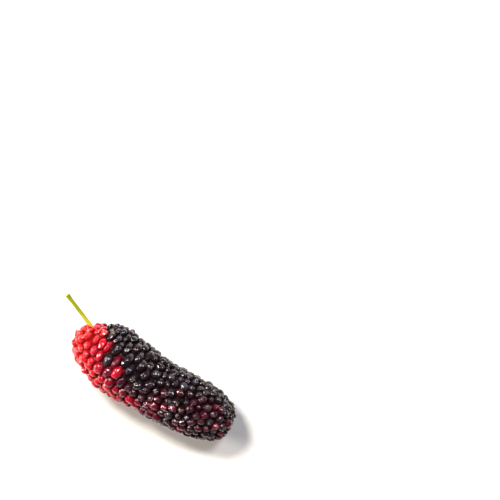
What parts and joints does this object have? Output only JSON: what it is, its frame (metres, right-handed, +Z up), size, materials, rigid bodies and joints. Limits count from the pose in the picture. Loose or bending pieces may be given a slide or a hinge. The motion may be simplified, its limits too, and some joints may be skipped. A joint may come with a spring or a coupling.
{
  "type": "mulberry on its stalk",
  "caption": "A long, gently bent mulberry lying on its side with its short cut green stalk, its drupelets bright red at the stalk end and black towards the tip.",
  "frame": {"origin": "On the surface that the fruit lies on, below the middle of its bounding box in plan.", "axes": "+Z is up. +X is the longest extent, from the cut end of the stalk to the tip of the fruit. +Y is the inside of the fruit's bend."},
  "size_m": [0.0526, 0.0176, 0.0166],
  "materials": {
    "red_drupelets": "taut wet-looking skin of unripe fruit, bright red, glossy",
    "black_drupelets": "taut skin of ripe fruit, purple-black, glossy",
    "stalk": "green cut stalk, smooth with a faint grain along it, satin"
  },
  "bodies": {
    "root": {"red_drupelets": "red_drupelets", "black_drupelets": "black_drupelets", "stalk": "stalk"}
  },
  "joints": []
}
